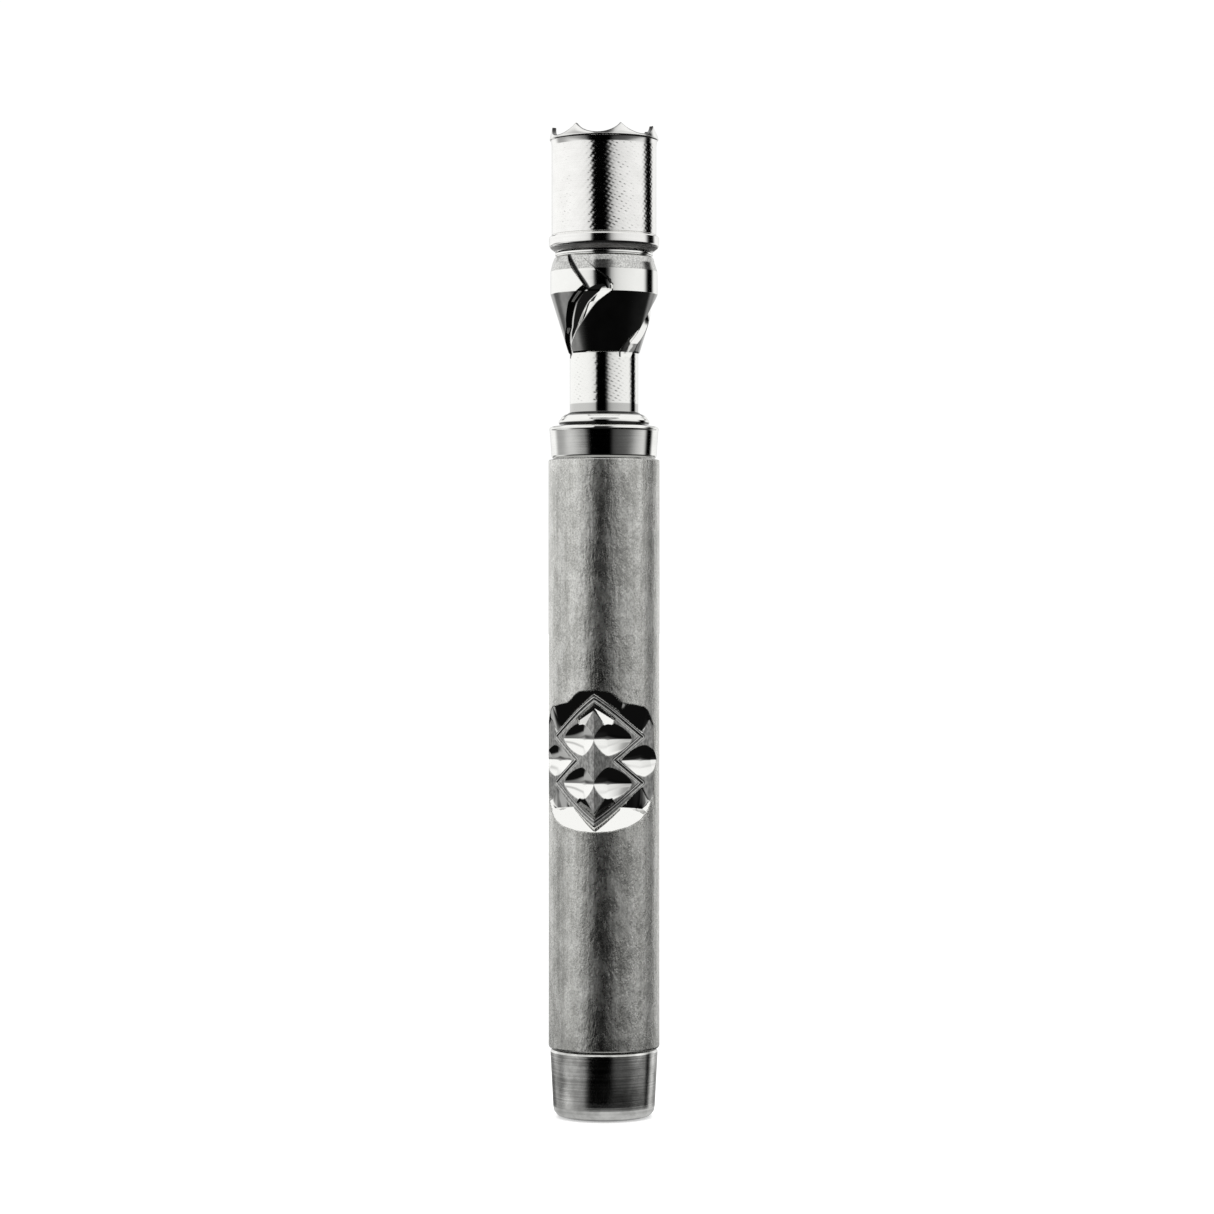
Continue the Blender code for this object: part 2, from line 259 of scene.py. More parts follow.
def steel(name, light, dark, rough_lo, rough_hi, ring=0.0, grain=0.0, ring_scale=9000.0, painted_shade=False):
    """Polished or turned stainless steel: faint cloudy tone, varying polish, turning rings round Z. When asked, a
    vertex attribute paints shade into the colour and a second one adds roughness.
    """
    mat, g, bsdf, coords = new_material(name)
    cloud = g.noise(coords, 700.0, 4.0)
    rings_v = g.stretched(coords, (60.0, 60.0, ring_scale))
    rings = g.noise(rings_v, 1.0, 3.0, 0.6)
    fine = g.noise(coords, 9000.0, 2.0)
    tone = g.math("ADD", g.math("MULTIPLY", cloud, 0.6), g.math("MULTIPLY", rings, 0.4))
    colour = g.mix(g.range(tone, 0.35, 0.65), dark, light)
    if painted_shade:
        # painted shade: near-black mixed into the colour where the vertex attribute says
        colour = g.mix(g.node("ShaderNodeAttribute", attribute_name="painted_shade").outputs["Fac"], colour, (0.03, 0.03, 0.03))
    g.link(colour, bsdf.inputs["Base Color"])
    bsdf.inputs["Metallic"].default_value = 1.0
    rough = g.range(g.math("ADD", g.math("MULTIPLY", rings, 0.6), g.math("MULTIPLY", cloud, 0.4)), 0.3, 0.7, rough_lo, rough_hi)
    if painted_shade:
        rough = g.math("ADD", rough, g.math("MULTIPLY", g.node("ShaderNodeAttribute", attribute_name="brushed").outputs["Fac"], 0.42))
    g.link(rough, bsdf.inputs["Roughness"])
    normal = None
    if ring:
        normal = g.bump(rings, ring)
    if grain:
        normal = g.bump(fine, grain, normal=normal)
    if normal is not None:
        g.link(normal, bsdf.inputs["Normal"])
    return mat


POLISHED = steel("polished_steel", (0.90, 0.90, 0.88), (0.80, 0.80, 0.78), 0.05, 0.10, ring=0.0000006)
FERRULE = steel("ferrule_steel", (0.90, 0.90, 0.88), (0.52, 0.52, 0.505), 0.09, 0.17, ring=0.000004, ring_scale=9000.0, painted_shade=True)
CAP_STEEL = steel("cap_steel", (0.92, 0.915, 0.90), (0.84, 0.835, 0.82), 0.07, 0.12, ring=0.0000004, painted_shade=True)
TURNED = steel("turned_steel", (0.74, 0.74, 0.72), (0.58, 0.58, 0.57), 0.20, 0.30, ring=0.000002)
SPRING = steel("spring_steel", (0.60, 0.60, 0.61), (0.46, 0.46, 0.48), 0.22, 0.30, grain=0.000001)
BIMETAL = steel("bimetal", (0.74, 0.68, 0.58), (0.60, 0.53, 0.42), 0.20, 0.32, ring=0.000001)


def tip_material():
    """Polished like the rest, but the chamfer above the band keeps its finer machined grain. Painted shade darkens the
    flange grooves, the neck's foot, the cone and the flutes' left walls.
    """
    mat, g, bsdf, coords = new_material("tip_steel")
    z = g.node("ShaderNodeSeparateXYZ")
    g.link(coords, z.inputs[0])
    zmm = g.math("MULTIPLY", z.outputs[2], 1000.0)
    chamfer = g.math("MULTIPLY", g.range(zmm, 77.18, 77.26), g.range(zmm, 78.66, 78.58))
    rings = g.noise(g.stretched(coords, (60.0, 60.0, 11000.0)), 1.0, 3.0, 0.6)
    cloud = g.noise(coords, 900.0, 4.0)
    fine = g.noise(coords, 7000.0, 3.0)
    colour = g.mix(chamfer, g.mix(cloud, (0.84, 0.84, 0.82), (0.92, 0.92, 0.90)), g.mix(g.range(fine, 0.35, 0.65), (0.44, 0.44, 0.43), (0.74, 0.74, 0.72)))
    # painted shade: dark bands in the two flange grooves
    painted_shade = g.math("ADD", g.math("MULTIPLY", g.range(zmm, 63.08, 63.14), g.range(zmm, 63.50, 63.38)), g.math("MULTIPLY", g.range(zmm, 64.00, 64.14), g.range(zmm, 64.40, 64.36)))
    # painted shade: a grey band up the foot of the neck
    neck_painted_shade = g.math("MULTIPLY", g.range(zmm, 64.36, 64.42), g.range(zmm, 65.20, 65.08))
    colour = g.mix(g.math("MULTIPLY", neck_painted_shade, 0.62), colour, (0.34, 0.34, 0.33))
    # painted shade: the cone's turned surface between the flutes is darkened to near-black, standing in for the dark it
    # reflects
    cone_painted_shade = g.node("ShaderNodeAttribute", attribute_name="cone_painted_shade").outputs["Fac"]
    colour = g.mix(g.math("MULTIPLY", cone_painted_shade, g.range(cloud, 0.2, 0.8, 0.75, 0.90)), colour, (0.10, 0.10, 0.098))
    # painted shade, near-black, on the flange grooves and on the flutes' left walls
    colour = g.mix(g.math("MAXIMUM", painted_shade, g.node("ShaderNodeAttribute", attribute_name="painted_shade").outputs["Fac"]), colour, (0.03, 0.03, 0.03))
    g.link(colour, bsdf.inputs["Base Color"])
    bsdf.inputs["Metallic"].default_value = 1.0
    rough = g.math("ADD", g.range(cloud, 0.3, 0.7, 0.05, 0.09), g.math("MULTIPLY", chamfer, 0.10))
    g.link(rough, bsdf.inputs["Roughness"])
    g.link(g.bump(fine, 0.000001, 0.6, normal=g.bump(rings, 0.0000007)), bsdf.inputs["Normal"])
    return mat


TIP_STEEL = tip_material()


def sleeve_material():
    """Matt etched steel with upright streaks and worn patches; the milled relief is left brighter, with painted shade
    in its hollows, cuts and rib lines.
    """
    mat, g, bsdf, coords = new_material("matt_steel")
    milled = g.node("ShaderNodeAttribute", attribute_name="milled").outputs["Fac"]
    facet = g.node("ShaderNodeAttribute", attribute_name="facet").outputs["Fac"]
    relief_painted_shade = g.node("ShaderNodeAttribute", attribute_name="relief_painted_shade").outputs["Fac"]
    streak = g.noise(g.stretched(coords, (1900.0, 1900.0, 70.0)), 1.0, 5.0, 0.65)
    patch = g.noise(g.stretched(coords, (560.0, 560.0, 330.0)), 1.0, 6.0, 0.7)
    grain = g.noise(g.stretched(coords, (6400.0, 6400.0, 5600.0)), 1.0, 5.0, 0.8)
    tone = g.math("ADD", g.math("MULTIPLY", streak, 0.36), g.math("MULTIPLY", patch, 0.64))
    base = g.mix(g.range(tone, 0.38, 0.62), (0.52, 0.52, 0.495), (0.90, 0.90, 0.87))
    base = g.mix(g.math("MULTIPLY", g.range(grain, 0.42, 0.62), 0.60), base, (0.28, 0.28, 0.265))
    scrape = g.noise(g.stretched(coords, (5200.0, 5200.0, 2600.0)), 1.0, 3.0, 0.6)
    bright = g.mix(facet, (0.90, 0.90, 0.88), g.mix(g.range(scrape, 0.35, 0.65), (0.24, 0.24, 0.235), (0.48, 0.48, 0.47)))
    # painted shade: the relief's hollows, cuts, lower facets and rib lines are darkened towards near-black
    bright = g.mix(g.math("MULTIPLY", relief_painted_shade, 0.55), bright, (0.05, 0.05, 0.05))
    g.link(g.mix(milled, base, bright), bsdf.inputs["Base Color"])
    bsdf.inputs["Metallic"].default_value = 1.0
    matt_r = g.range(patch, 0.3, 0.7, 0.21, 0.33)
    dents = g.math("MULTIPLY", g.noise(g.stretched(coords, (1300.0, 1300.0, 620.0)), 1.0, 5.0, 0.7), g.math("SUBTRACT", 1.0, milled))
    mill_r = g.math("ADD", g.math("MULTIPLY", facet, 0.24), 0.06)
    rough = g.math("ADD", g.math("MULTIPLY", matt_r, g.math("SUBTRACT", 1.0, milled)), g.math("MULTIPLY", mill_r, milled))
    g.link(rough, bsdf.inputs["Roughness"])
    matt = g.math("SUBTRACT", 1.0, milled)
    height = g.math("MULTIPLY", g.math("ADD", g.math("MULTIPLY", grain, 0.6), g.math("MULTIPLY", streak, 0.8)), matt)
    g.link(g.bump(height, 0.000022, 0.9, normal=g.bump(dents, 0.00007)), bsdf.inputs["Normal"])
    return mat


MATT = sleeve_material()


def rubber_material():
    mat, g, bsdf, coords = new_material("seal_rubber")
    cloud = g.noise(coords, 2500.0, 3.0)
    fine = g.noise(coords, 12000.0, 2.0)
    g.link(g.mix(cloud, (0.36, 0.055, 0.03), (0.48, 0.085, 0.045)), bsdf.inputs["Base Color"])
    g.link(g.range(fine, 0.3, 0.7, 0.42, 0.6), bsdf.inputs["Roughness"])
    g.link(g.bump(fine, 0.000004, 0.5), bsdf.inputs["Normal"])
    return mat


SEAL = rubber_material()


# =====================================================================================
# mouthpiece: tapered ferrule with a rounded end, shoulder and spigot
# =====================================================================================
def mouthpiece():
    top = 6.22
    rows = [(3.62, 0.0, 0.30), (4.26, 0.18, 0.4), (4.575, 0.60, 0.3), (4.645, 1.02, 0.4), (4.915, top - 0.20, 0.05),
            (4.80, top, 0.03), (3.27, top, 0.05)]
    for zc in (8.3, 10.7):
        rows += [(3.27, zc - 0.42, 0.03), (2.55, zc - 0.42, 0.05), (2.55, zc + 0.42, 0.05), (3.27, zc + 0.42, 0.03)]
    rows += [(3.27, 11.95, 0.05), (3.02, 12.2, 0.05), (2.01, 12.2, 0.05), (2.01, 1.50, 0.02), (1.62, 1.50, 0.03),
             (1.62, 0.62, 0.3), (1.95, 0.18, 0.25), (2.25, 0.0, 0.08)]
    rings = [(r, z) for r, z in fill(rounded(rows, 9.0), [(1.4, 6.4, 0.5, 4.2)])]
    # painted shade: the ferrule's lower rounded edge is darkened towards its bottom
    ferrule_painted_shade = np.concatenate([np.full(288, 0.9 * float(smooth((0.30 - z) / 0.16)) if r > 3.5 else 0.0) for r, z in rings])
    return skin("mouthpiece_ferrule", rings, round_angles(288), FERRULE, attributes={"painted_shade": ferrule_painted_shade})


place(mouthpiece(), "mouthpiece", "mouthpiece")


# =====================================================================================
# collar
# =====================================================================================
def collar():
    rows = [(3.76, 60.14, 0.02), (4.66, 60.14, 0.03), (4.765, 60.30, 0.04), (4.80, 60.40, 0.08), (4.965, 62.66, 0.4), (5.01, 62.80, 0.10),
            (4.95, 62.98, 0.10), (4.72, 63.08, 0.12), (3.76, 63.10, 0.02)]
    return skin("collar_ring", rounded(rows, 7.0), round_angles(288), POLISHED)


place(collar(), "body", "upper_collar")


# =====================================================================================
# sleeve with the milled thumb relief
# =====================================================================================
R_SLEEVE, R_BORE = 5.08, 3.76
RIDGE_DEG, RIDGE_R, RIDGE_HALF = -10.6, 5.0, 36.0
RIB_HALF = 0.31
# Half of the rib lattice, mirrored about the ridge: arc length from the ridge, height.
LATTICE = [(0.0, 38.28), (4.90, 34.80), (1.95, 32.72), (4.90, 30.62), (0.0, 27.12)]


def line_distance(x, z, p, q):
    """Distance to the straight piece p-q (its length kept)."""
    px, pz = p
    qx, qz = q
    dx, dz = qx - px, qz - pz
    t = np.clip(((x - px) * dx + (z - pz) * dz) / (dx * dx + dz * dz), 0.0, 1.0)
    return np.hypot(x - px - t * dx, z - pz - t * dz)


def scoop(x, z, cx, cz, hx_in, hx_out, hz_up, hz_down, deep):
    """A rounded four-cornered dimple: how deep it is here."""
    u = (x - cx) / np.where(x < cx, hx_in, hx_out)
    w = (z - cz) / np.where(z > cz, hz_up, hz_down)
    n = (np.abs(u) ** 1.45 + np.abs(w) ** 1.45) ** (1 / 1.45)
    return deep * np.clip(1.0 - n * n, 0.0, 1.0)


def relief(a, z):
    """Radius of the sleeve's skin, how much it is milled (0..1), how plain that milled face is, and how much shade is
    painted on it.
    """
    psi = front_deg(a) - RIDGE_DEG
    psi = (psi + 180.0) % 360.0 - 180.0
    side = np.abs(psi)
    x = side * math.pi / 180.0 * 4.70
    flat = RIDGE_R * math.cos(math.radians(RIDGE_HALF)) / np.cos(np.radians(np.clip(side, 0, 90.0) - RIDGE_HALF))
    base = np.minimum(R_SLEEVE - (R_SLEEVE - flat) * 0.74, R_SLEEVE)
    cut = np.zeros_like(base)
    plain = np.ones_like(base)
    shade = np.zeros_like(base)
    # dimples between the ribs; their upper halves get painted shade
    for cx, cz, h_in, h_out, up, down, deep in ((1.25, 34.66, 1.27, 2.55, 1.52, 1.52, 0.45), (1.25, 30.62, 1.27, 2.55, 1.48, 1.52, 0.45),
                                                 (5.15, 32.70, 2.50, 1.45, 1.36, 1.50, 0.48)):
        d = scoop(x, z, cx, cz, h_in, h_out, up, down, deep)
        cut = np.maximum(cut, d)
        plain = np.minimum(plain, 1.0 - smooth(d / 0.03))
        shade = np.maximum(shade, smooth(d / 0.05) * smooth((z - cz + 0.04) / 0.10))
    # facets that fall away from the two kites on the ridge; the lower ones get painted shade, the upper ones none
    high = np.where((z > 37.30 - 1.50 * x) & (0.809 * x - 0.588 * z < -19.80), 0.03 + 0.32 * (z - 35.95) + 0.04 * x, -1.0)
    low = np.where((z < 27.95 + 1.45 * x) & (0.809 * x + 0.588 * z < 18.55), 0.03 + 0.34 * (29.30 - z) + 0.04 * x, -1.0)
    fall = np.clip(np.maximum(high, low), 0.0, 0.85)
    plain = np.where((fall > 0.0) & (fall > cut), 0.0, plain)
    shade = np.where((fall > cut) & (high > low), 0.0, shade)
    shade = np.maximum(shade, (0.93 + 0.07 * (psi > 0.0)) * ((low > 0.0) & (low >= cut)))
    cut = np.maximum(cut, fall)
    # ribs stay up; painted shade runs in lines along them and darkens the lower ribs, most on the right
    d = np.full_like(base, 9.0)
    for p, q in zip(LATTICE[:-1], LATTICE[1:]):
        d = np.minimum(d, line_distance(x, z, p, q))
    rib = smooth((RIB_HALF + 0.04 - d) / 0.08)
    lines = 0.10 * np.exp(-((d - 0.02) / 0.065) ** 2) + 0.035 * np.exp(-((d - 0.20) / 0.04) ** 2)
    cut = cut * (1 - rib) + lines * rib
    plain = np.maximum(plain * (1 - rib), rib * (1.0 - 0.9 * np.exp(-((d - 0.14) / 0.035) ** 2)))
    shade = shade * (1 - rib) + rib * (0.75 * np.exp(-((d - 0.02) / 0.07) ** 2) + 0.55 * np.exp(-((d - 0.235) / 0.035) ** 2))
    shade = np.maximum(shade, (0.30 + 0.66 * (psi > 0.0)) * rib * smooth((29.9 - z) / 0.6))
    # above the lattice the cutter comes in from the skin, below it runs out to the skin; both cuts get painted shade
    edge_up = np.interp(x, [0.0, 4.9, 5.7, 6.5], [38.66, 35.18, 36.6, 37.5])
    edge_low = np.interp(x, [0.0, 4.9, 5.7, 6.5], [26.74, 30.24, 28.7, 27.5])
    top = np.interp(x, [0.0, 0.9, 1.3, 1.7, 2.1, 2.5, 3.0, 4.6, 5.1, 5.5, 6.2], [39.10, 39.09, 38.98, 38.68, 38.28, 38.0, 37.84, 37.64, 37.3, 36.7, 35.5])
    top = top + 0.03 * np.sin(psi * 0.31 + 1.0)
    bottom = np.interp(x, [0.0, 1.5, 3.0, 4.2, 5.0, 5.6, 6.2], [26.22, 26.32, 26.70, 27.30, 28.0, 28.9, 29.9])
    up = np.clip((z - edge_up) / np.maximum(top - edge_up, 0.06), 0.0, 1.0)
    r = base - cut
    over = (z > edge_up) & (d > RIB_HALF - 0.06)
    under = (z < edge_low) & (d > RIB_HALF - 0.06)
    ends = smooth((5.3 - x) / 0.8)
    dip_up = 0.22 * ends * smooth((z - edge_up) / 0.10)
    r = np.where(over, np.minimum(base - dip_up + (R_SLEEVE + 0.02 - base + dip_up) * up ** 1.15, R_SLEEVE), r)
    turn_z = np.maximum(np.minimum(edge_low - 0.12, 28.75 - 0.10 * x), bottom + 0.30)
    deepest = base - 0.34 * ends
    leave = np.clip((turn_z - z) / np.maximum(turn_z - bottom, 0.06), 0.0, 1.0)
    enter = np.clip((z - turn_z) / np.maximum(edge_low - turn_z, 0.06), 0.0, 1.0)
    basin = np.where(z < turn_z, deepest + (R_SLEEVE + 0.02 - deepest) * leave, deepest + (base - 0.04 - deepest) * enter)
    r = np.where(under, np.minimum(basin, R_SLEEVE), r)
    plain = np.where(over | under, 0.0, plain)
    shade = np.where(over, smooth((z - edge_up) / 0.15) * smooth((top - z) / 0.05), shade)
    shade = np.where(under, smooth((z - turn_z) / 0.12), shade)
    r = np.where((z >= top) | (z <= bottom), R_SLEEVE, r)
    r = np.where(side > 86.0, R_SLEEVE, r)
    r = np.maximum(r, 3.86)
    milled = smooth((R_SLEEVE - 0.004 - r) / 0.02)
    return np.minimum(r, R_SLEEVE), milled, plain * milled, shade * milled


def sleeve():
    dense = np.radians(np.arange(-87.0, 87.01, 0.5) + RIDGE_DEG) + FRONT
    rest = np.radians(np.linspace(87.0, 273.0, 80)[1:-1] + RIDGE_DEG) + FRONT
    angles = np.concatenate([dense, rest])
    z0, z1 = 6.40, 60.06
    rows = rounded([(R_BORE, z0, 0.05), (5.0, z0, 0.0), (R_SLEEVE, z0 + 0.12, 0.05), (R_SLEEVE, z1 - 0.02, 0.30), (4.80, z1, 0.05), (R_BORE, z1, 0.05)], 9.0)
    rows = fill(rows, [(z0, z1, 1.5, 5.0)])
    rows = [p for p in rows if not (p[0] > 5.0 and 25.6 < p[1] < 39.6)]
    cut = next(i for i, p in enumerate(rows) if p[0] > 5.0 and p[1] >= 39.6)
    rows = rows[:cut] + [(R_SLEEVE, z) for z in np.arange(25.6, 39.61, 0.05)] + rows[cut:]
    rings, milled, facet, shade = [], [], [], []
    n = len(angles)
    for r, z in rows:
        if r > R_SLEEVE - 0.001 and 25.6 <= z <= 39.6:
            rr, m, f, sh = relief(angles, np.full(n, z))
        else:
            # painted shade: a dark line along the sleeve's top edge
            top_edge_painted_shade = 1.0 if z > 59.99 else 0.0
            rr, m, f, sh = np.full(n, r), np.full(n, top_edge_painted_shade), np.zeros(n), np.full(n, top_edge_painted_shade)
        rings.append((rr, z))
        milled.append(m)
        facet.append(f)
        shade.append(sh)
    return skin("sleeve_shell", rings, angles, MATT, sharp=55.0,
                attributes={"milled": np.concatenate(milled), "facet": np.concatenate(facet), "relief_painted_shade": np.concatenate(shade)})


place(sleeve(), "body", "body_sleeve")


# =====================================================================================
# tip: shank, stop flange, knurled neck, fluted cone, band, chamfer, land, bowl
# =====================================================================================
BAND_R, CONE_Z, BAND_LOW, BAND_TOP, NECK_R = 4.90, 69.88, 75.17, 77.22, 3.13


def knurl(a, z, radius, pitch_z, slope_deg, depth):
    """Shallow rolled rows falling to the right, broken into scales by a second, coarser set."""
    lead = pitch_z / math.tan(math.radians(slope_deg))
    starts = max(1, round(2 * math.pi * radius / lead))
    p1 = a * starts / (2 * math.pi) + z / pitch_z
    starts2 = round(2 * math.pi * radius / 0.62)
    p2 = a * starts2 / (2 * math.pi) - z / 0.64
    c1 = 0.5 - 0.5 * np.cos(2 * math.pi * p1)
    c2 = 0.5 - 0.5 * np.cos(2 * math.pi * p2)
    wear = np.sin(np.floor(p1) * 12.9898 + np.floor(p2) * 78.233) * 43758.5453
    wear = 0.15 + 1.7 * (wear - np.floor(wear))
    return -depth * (0.42 * c1 + 0.22 * c2 + 0.60 * c1 * c2 * wear)


# Edges of one flute in degrees from its own middle line, by height: the slot across the band, then the
# scoop that falls to the left down the cone.
SLOT_Z = [75.2, 75.8, 76.2, 77.0, 77.55, 78.7]
SLOT_LEFT = [-19.5, -23.8, -27.2, -34.7, -39.6, -49.5]
SLOT_RIGHT = [9.5, 9.2, 6.3, -5.5, -13.6, -29.0]
FALL_Z = [69.2, 69.7, 70.6, 71.1, 72.0, 72.75, 74.2, 75.18, 75.8]
FALL_LEFT = [-98.0, -97.0, -88.0, -79.0, -62.0, -57.0, -45.0, -31.5, -21.5]
FALL_RIGHT = [-66.0, -62.0, -58.0, -48.5, -35.5, -25.0, -7.5, 9.0, 8.8]


def flute_radius(a, z, base):
    """The cutter's surface along each flute, where it is below the turned surface, and the painted shade on the flutes'
    left walls.
    """
    r = base.copy()
    flute_painted_shade = np.zeros_like(base)
    deg = front_deg(a)
    for k in range(3):
        d = (deg - 120.0 * k + 180.0) % 360.0 - 180.0
        # slot: flat floor, sloped left wall, steep right wall
        left = np.interp(z, SLOT_Z, SLOT_LEFT)
        right = np.interp(z, SLOT_Z, SLOT_RIGHT)
        mm_left = (d - left) * math.pi / 180.0 * 4.8
        mm_right = (right - d) * math.pi / 180.0 * 4.8
        wide = np.interp(z, [75.6, 76.2, 78.2], [0.16, 0.14, 0.10])
        floor = np.interp(z, [75.6, 77.0, 78.2, 78.6], [4.48, 4.50, 4.44, 4.36]) + 0.10 * np.clip(mm_left - wide, 0.0, 2.0)
        slot = np.maximum(floor + np.maximum(wide - mm_left, 0.0) * 3.6, floor + np.maximum(0.12 - mm_right, 0.0) * 2.6)
        slot = np.where((z > 75.35) & (z < 78.95) & (mm_left > -0.3) & (mm_right > -0.1), slot, 9.0)
        # scoop: deepens away from its left edge, then the bright wall on its right
        left = np.interp(z, FALL_Z, FALL_LEFT)
        right = np.interp(z, FALL_Z, FALL_RIGHT)
        u = (d - left) / (right - left)
        deep = 0.44 * smooth(u / 0.20) + 0.12 * smooth((u - 0.25) / 0.40)
        deep = np.minimum(deep, 0.56 * (1.0 - u) / 0.34)
        scale = np.interp(z, [69.22, 69.34, 69.7, 70.4, 72.0, 76.0], [0.0, 0.40, 0.66, 0.80, 0.95, 1.0])
        lift = np.where(z > 75.2, np.clip((z - 75.2) / 0.75, 0.0, 1.0) ** 2, 0.0)
        flank = BAND_R - (BAND_LOW - np.minimum(z, BAND_LOW)) * (BAND_R - 3.26) / (BAND_LOW - CONE_Z)
        flank = np.maximum(flank, NECK_R + 0.10)
        scoop_r = np.where((u > 0.0) & (u < 1.0) & (z < 75.95), flank - deep * scale * (1.0 - lift) + 0.004, 9.0)
        # painted shade on the slot's and the scoop's left walls
        flute_painted_shade = np.where(slot < r, 0.96 * smooth((0.50 - mm_left) / 0.16), flute_painted_shade)
        flute_painted_shade = np.where(scoop_r < np.minimum(r, slot), 0.88 * smooth((0.27 - u) / 0.08), flute_painted_shade)
        r = np.minimum(r, np.minimum(slot, scoop_r))
    return r, flute_painted_shade


def tip():
    shank = 3.27
    rows = [(2.30, 54.6, 0.05), (3.02, 54.6, 0.05), (shank, 54.9, 0.05)]
    for zc in (57.3, 60.9):
        rows += [(shank, zc - 0.42, 0.03), (2.55, zc - 0.42, 0.05), (2.55, zc + 0.42, 0.05), (shank, zc + 0.42, 0.03)]
    rows += [(shank, 63.16, 0.02), (3.80, 63.18, 0.02), (3.82, 63.28, 0.03), (4.10, 63.30, 0.04), (4.14, 63.40, 0.05),
             (4.14, 63.60, 0.10), (3.98, 63.74, 0.08), (3.90, 63.92, 0.12), (3.62, 64.14, 0.15), (3.30, 64.24, 0.04), (3.28, 64.32, 0.03), (NECK_R, 64.36, 0.04), (NECK_R, 64.60), (NECK_R, 65.05)]
    rows += [(NECK_R, 69.70), (NECK_R, 69.74, 0.04), (3.20, 69.80, 0.03), (3.26, 69.88, 0.04), (BAND_R, BAND_LOW, 0.05), (BAND_R, BAND_TOP, 0.20),
             (4.74, 77.95, 0.6), (4.54, 78.46, 0.20), (4.36, 78.62, 0.03), (4.36, 78.70, 0.02), (4.46, 78.72, 0.03), (4.46, 78.90, 0.03), (4.30, 78.92, 0.02),
             (3.55, 78.94, 0.05), (3.55, 86.28, 0.10), (3.39, 86.40, 0.05), (3.12, 86.40, 0.05), (3.00, 86.24, 0.06), (3.00, 79.0, 0.25),
             (1.25, 79.0, 0.05), (1.25, 70.6, 0.05), (2.10, 70.2, 0.05), (2.10, 54.8, 0.05)]
    rows = fill(rounded(rows, 8.0), [(65.0, 69.72, 0.055, 3.0), (69.7, 78.65, 0.05, 3.1)])
    angles = round_angles(540)
    rings, cone_painted_shade, painted_shade = [], [], []
    for r, z in rows:
        rr = np.full(len(angles), r)
        flute_painted_shade, cone = np.zeros(len(angles)), np.zeros(len(angles))
        if 3.05 < r < 5.0 and 69.1 < z < 78.72:
            whole = rr
            rr, flute_painted_shade = flute_radius(angles, np.full(len(angles), z), rr)
            # painted shade mask: the cone's own turned surface between the flutes
            if 69.80 < z < BAND_LOW - 0.02:
                cone = smooth((rr - whole + 0.03) / 0.02)
        if abs(r - NECK_R) < 0.02 and 65.15 < z < 69.65:
            fade = smooth((z - 65.15) / 0.12) * smooth((69.65 - z) / 0.12)
            rr = np.minimum(rr, r + fade * knurl(angles, np.full(len(angles), z), NECK_R, 0.34, 24.0, 0.0036))
        rings.append((rr, z))
        cone_painted_shade.append(cone)
        painted_shade.append(flute_painted_shade)
    return skin("tip_turned", rings, angles, TIP_STEEL, sharp=32.0, attributes={"cone_painted_shade": np.concatenate(cone_painted_shade), "painted_shade": np.concatenate(painted_shade)})


place(tip(), "tip", "tip")


# =====================================================================================
# cap shell: knurled cup, bead, crimped crown
# =====================================================================================
CAP_R, LIP_R, BEAD_R = 4.79, 4.98, 5.03
PEAK_Z, VALLEY_Z, PEAK_R, FIRST = 90.4, 89.50, 4.76, -32.6


def crown_z(a):
    pitch = 360.0 / 7.0
    d = (front_deg(a) - FIRST) % pitch
    chord = 2.0 * math.pi * PEAK_R / 7.0
    sag = PEAK_Z - VALLEY_Z
    radius = chord * chord / (8.0 * sag) + sag / 2.0
    s = chord * (d / pitch - 0.5)
    return VALLEY_Z + radius - np.sqrt(radius * radius - s * s)


